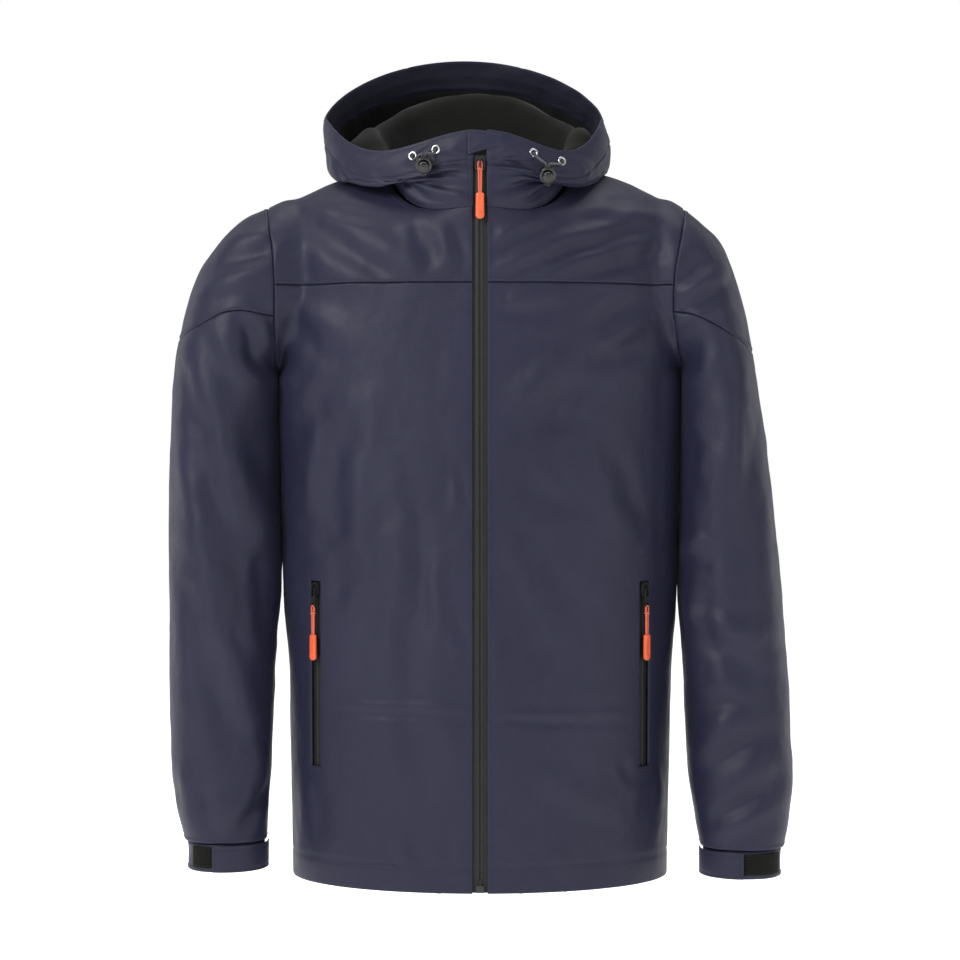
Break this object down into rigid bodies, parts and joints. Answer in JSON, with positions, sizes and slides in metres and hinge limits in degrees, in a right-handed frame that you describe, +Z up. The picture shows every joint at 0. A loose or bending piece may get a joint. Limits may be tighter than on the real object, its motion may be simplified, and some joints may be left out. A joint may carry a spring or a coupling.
{
  "type": "foul weather jacket",
  "caption": "Hooded waterproof sailing jacket, zip closed, with zipped hand pockets, tabbed cuffs, hood drawcord with cord locks, and a full lining.",
  "frame": {"origin": "centre back neck seam, where the hanger loop is sewn in", "axes": "+Z up, the front of the jacket faces -Y, +X towards the wearer's left"},
  "size_m": [0.638, 0.3021, 0.862],
  "materials": {
    "shell_fabric": "satin, smooth fine weave",
    "lining_fabric": "matt mesh and twill",
    "loop_fabric": "brushed loop pile",
    "hook_fabric": "woven with hooks",
    "zip_tape": "coated woven tape",
    "zip_coil": "satin",
    "zip_hardware": "black gloss enamel",
    "pull_cord": "braided",
    "pull_grip": "satin moulded",
    "cord_lock": "polished",
    "eyelet": "polished",
    "drawcord": "braided elastic"
  },
  "bodies": {
    "garment": {"back_panel": "shell_fabric", "back_yoke": "shell_fabric", "hem_facing": "shell_fabric", "hood_center_panel": "shell_fabric", "hood_facing": "shell_fabric", "hanger_loop": "shell_fabric", "front_panel_right": "shell_fabric", "front_yoke_right": "shell_fabric", "sleeve_right": "shell_fabric", "sleeve_cap_right": "shell_fabric", "hood_side_right": "shell_fabric", "cuff_band_right": "shell_fabric", "front_panel_left": "shell_fabric", "front_yoke_left": "shell_fabric", "sleeve_left": "shell_fabric", "sleeve_cap_left": "shell_fabric", "hood_side_left": "shell_fabric", "cuff_band_left": "shell_fabric", "lining_back": "lining_fabric", "hood_lining": "lining_fabric", "lining_front_right": "lining_fabric", "sleeve_lining_right": "lining_fabric", "pocket_bag_right": "lining_fabric", "lining_front_left": "lining_fabric", "sleeve_lining_left": "lining_fabric", "pocket_bag_left": "lining_fabric", "cuff_loop_patch_right": "loop_fabric", "cuff_loop_patch_left": "loop_fabric", "zip_tape_right": "zip_tape", "zip_tape_left": "zip_tape", "pocket_zip_tape_right": "zip_tape", "pocket_zip_tape_left": "zip_tape", "zip_coil_right": "zip_coil", "zip_coil_left": "zip_coil", "zip_retainer_box": "zip_hardware", "eyelet_right_inner": "eyelet", "eyelet_right_outer": "eyelet", "eyelet_left_inner": "eyelet", "eyelet_left_outer": "eyelet", "hood_drawcord": "drawcord"},
    "zip_slider": {"zip_slider": "zip_hardware"},
    "zip_pull": {"zip_pull_cord": "pull_cord", "zip_pull_grip": "pull_grip"},
    "chin_guard": {"chin_guard": "shell_fabric"},
    "pocket_slider_right": {"pocket_slider_right": "zip_hardware"},
    "pocket_pull_right": {"pocket_pull_tab_right": "zip_hardware", "pocket_pull_cord_right": "pull_cord", "pocket_grip_right": "pull_grip"},
    "cuff_tab_right": {"cuff_tab_right": "shell_fabric", "cuff_hook_patch_right": "hook_fabric"},
    "cord_lock_right": {"cord_lock_body_right": "cord_lock"},
    "cord_lock_plunger_right": {"cord_lock_plunger_right": "cord_lock"},
    "pocket_slider_left": {"pocket_slider_left": "zip_hardware"},
    "pocket_pull_left": {"pocket_pull_tab_left": "zip_hardware", "pocket_pull_cord_left": "pull_cord", "pocket_grip_left": "pull_grip"},
    "cuff_tab_left": {"cuff_tab_left": "shell_fabric", "cuff_hook_patch_left": "hook_fabric"},
    "cord_lock_left": {"cord_lock_body_left": "cord_lock"},
    "cord_lock_plunger_left": {"cord_lock_plunger_left": "cord_lock"}
  },
  "joints": [
    {"name": "zip_slide", "type": "slide", "parent": "garment", "child": "zip_slider", "axis": [0, 0.0502, 0.9987], "range_m": [-0.695, 0]},
    {"name": "zip_pull_swing", "type": "hinge", "parent": "zip_slider", "child": "zip_pull", "pos_m": [0, -0.16681, 0.00317], "axis": [-1, 0, 0], "range_deg": [0, 150]},
    {"name": "chin_guard_fold", "type": "hinge", "parent": "garment", "child": "chin_guard", "pos_m": [-0.0136, -0.1623, 0.024], "axis": [0, 0.0502, 0.9987], "range_deg": [-120, 0]},
    {"name": "pocket_slide_right", "type": "slide", "parent": "garment", "child": "pocket_slider_right", "axis": [-0.0033, -0.0032, 1], "range_m": [-0.165, 0]},
    {"name": "pocket_pull_swing_right", "type": "hinge", "parent": "pocket_slider_right", "child": "pocket_pull_right", "pos_m": [-0.16819, -0.1389, -0.42176], "axis": [-0.7009, 0.7132, 0], "range_deg": [0, 150]},
    {"name": "cuff_tab_fold_right", "type": "hinge", "parent": "garment", "child": "cuff_tab_right", "pos_m": [-0.2162, -0.096, -0.6924], "axis": [0, 0, 1], "range_deg": [0, 75]},
    {"name": "cord_lock_slide_right", "type": "slide", "parent": "garment", "child": "cord_lock_right", "axis": [0, -0.4226, 0.9063], "range_m": [0, 0.002]},
    {"name": "plunger_press_right", "type": "slide", "parent": "cord_lock_right", "child": "cord_lock_plunger_right", "axis": [0, -0.9063, -0.4226], "range_m": [-0.003, 0], "stiffness_N_per_m": 400, "springref_m": 0.002},
    {"name": "pocket_slide_left", "type": "slide", "parent": "garment", "child": "pocket_slider_left", "axis": [0.0033, -0.0032, 1], "range_m": [-0.165, 0]},
    {"name": "pocket_pull_swing_left", "type": "hinge", "parent": "pocket_slider_left", "child": "pocket_pull_left", "pos_m": [0.16819, -0.1389, -0.42176], "axis": [-0.7009, -0.7132, 0], "range_deg": [0, 150]},
    {"name": "cuff_tab_fold_left", "type": "hinge", "parent": "garment", "child": "cuff_tab_left", "pos_m": [0.2242, -0.096, -0.6994], "axis": [0, 0, 1], "range_deg": [-75, 0]},
    {"name": "cord_lock_slide_left", "type": "slide", "parent": "garment", "child": "cord_lock_left", "axis": [0, -0.4226, 0.9063], "range_m": [0, 0.0015]},
    {"name": "plunger_press_left", "type": "slide", "parent": "cord_lock_left", "child": "cord_lock_plunger_left", "axis": [0, -0.9063, -0.4226], "range_m": [-0.003, 0], "stiffness_N_per_m": 400, "springref_m": 0.002}
  ]
}
